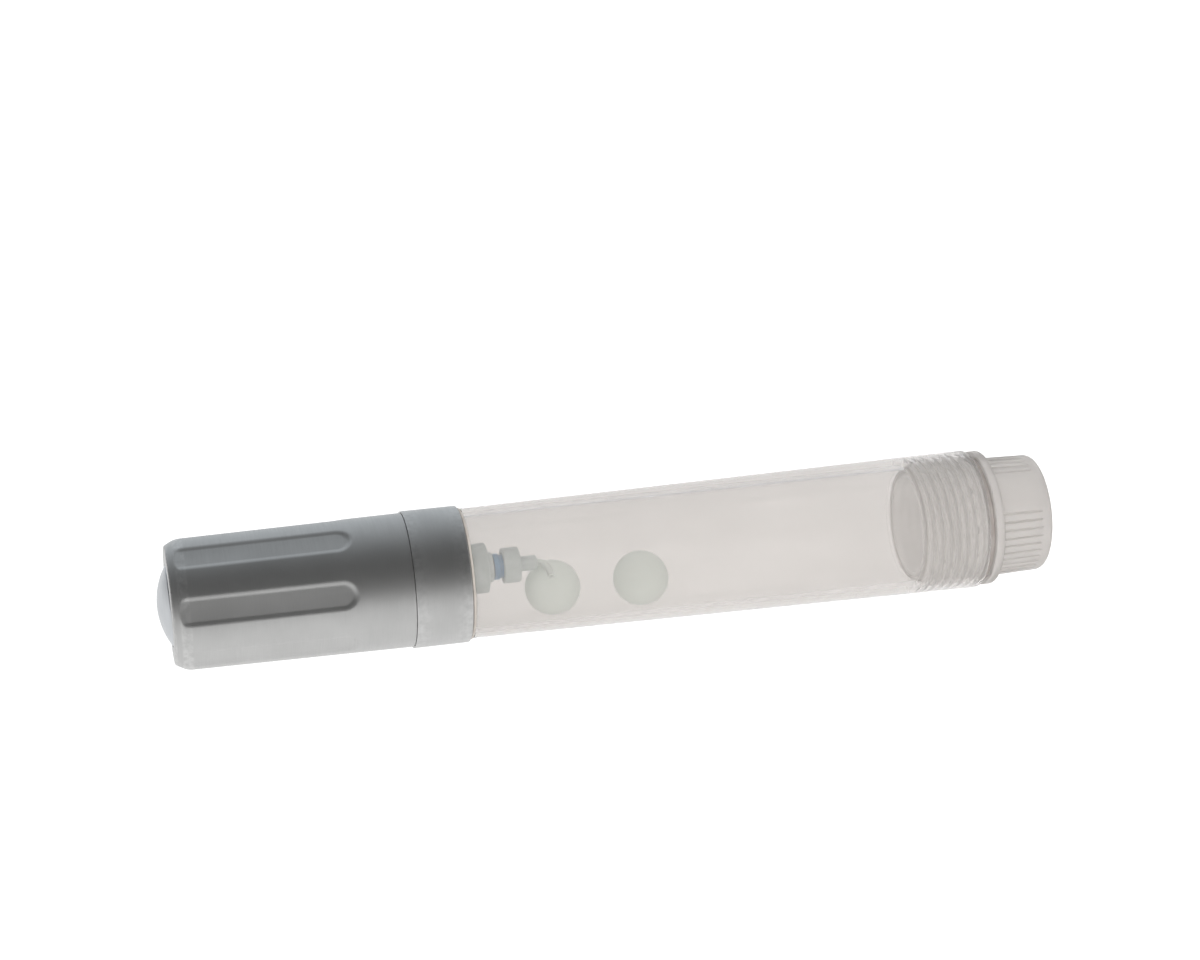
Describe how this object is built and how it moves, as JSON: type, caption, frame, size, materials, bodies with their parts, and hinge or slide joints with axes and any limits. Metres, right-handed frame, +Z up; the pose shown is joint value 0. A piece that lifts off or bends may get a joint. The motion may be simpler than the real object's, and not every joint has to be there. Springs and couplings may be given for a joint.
{
  "type": "float sampling probe",
  "caption": "Slim sampling probe: fluted metal head with a domed end button, translucent tube holding a hose fitting and loose balls, closed by a ribbed screw plug.",
  "frame": {"origin": "on the floor under the middle of the probe, which lies on its side", "axes": "+X along the probe's axis from the domed head to the screw plug, +Z up"},
  "size_m": [0.2338, 0.0368, 0.0368],
  "materials": {
    "satin_metal": "satin turned metal, grey, with soft long reflections",
    "dome_metal": "smooth pale satin",
    "spring_steel": "bright drawn wire",
    "grey_plastic": "moulded, matt",
    "dark_rubber": "moulded black rubber",
    "pale_rubber": "natural, slightly clouded",
    "natural_plastic": "frosted natural polypropylene, light passes through it",
    "blue_plastic": "moulded, glossy",
    "ball_glass": "polished, faint green tint"
  },
  "bodies": {
    "housing": {"sample_tube": "natural_plastic", "collar": "satin_metal", "adapter": "grey_plastic", "tube_lip": "pale_rubber", "nose_oring": "dark_rubber", "head_oring": "dark_rubber", "fitting_base": "grey_plastic", "stub_hose": "dark_rubber", "fitting_body": "grey_plastic", "nozzle": "grey_plastic", "nozzle_tip": "grey_plastic"},
    "head_carrier": {"head_washer": "dark_rubber"},
    "head": {"head_shell": "satin_metal", "valve_body": "grey_plastic", "stem_oring": "dark_rubber", "retaining_clip": "spring_steel", "button_spring": "spring_steel"},
    "button": {"dome_button": "dome_metal", "poppet_seal": "dark_rubber"},
    "plug_carrier": {"plug_seal": "pale_rubber"},
    "plug": {"screw_plug": "natural_plastic"},
    "hose_release": {"release_ring": "blue_plastic"},
    "ball_a": {"ball_1": "ball_glass"},
    "ball_b": {"ball_2": "ball_glass"}
  },
  "joints": [
    {"name": "head_travel", "type": "slide", "parent": "housing", "child": "head_carrier", "axis": [-1, 0, 0], "range_m": [0, 0.0241]},
    {"name": "head_turn", "type": "hinge", "parent": "head_carrier", "child": "head", "pos_m": [-0.08, 0, 0.01838], "axis": [-1, 0, 0], "range_deg": [0, 2880]},
    {"name": "button_press", "type": "slide", "parent": "head", "child": "button", "axis": [1, 0, 0], "range_m": [0, 0.002], "stiffness_N_per_m": 800, "springref_m": -0.001, "deforming": ["button_spring"]},
    {"name": "plug_travel", "type": "slide", "parent": "housing", "child": "plug_carrier", "axis": [1, 0, 0], "range_m": [0, 0.0278]},
    {"name": "plug_turn", "type": "hinge", "parent": "plug_carrier", "child": "plug", "pos_m": [0.1, 0, 0.01838], "axis": [1, 0, 0], "range_deg": [0, 4320]},
    {"name": "ring_press", "type": "slide", "parent": "housing", "child": "hose_release", "axis": [1, 0, 0], "range_m": [0, 0.0006], "stiffness_N_per_m": 500, "springref_m": -0.0004},
    {"name": "ball_1_roll", "type": "slide", "parent": "housing", "child": "ball_a", "axis": [1, 0, 0], "range_m": [0, 0.0086]},
    {"name": "ball_2_roll", "type": "slide", "parent": "housing", "child": "ball_b", "axis": [1, 0, 0], "range_m": [-0.0086, 0.0655]}
  ],
  "couplings": [
    {"joint": "head_travel", "follows": "head_turn", "m_per_rad": 0.00047746},
    {"joint": "plug_travel", "follows": "plug_turn", "m_per_rad": 0.00036749}
  ]
}
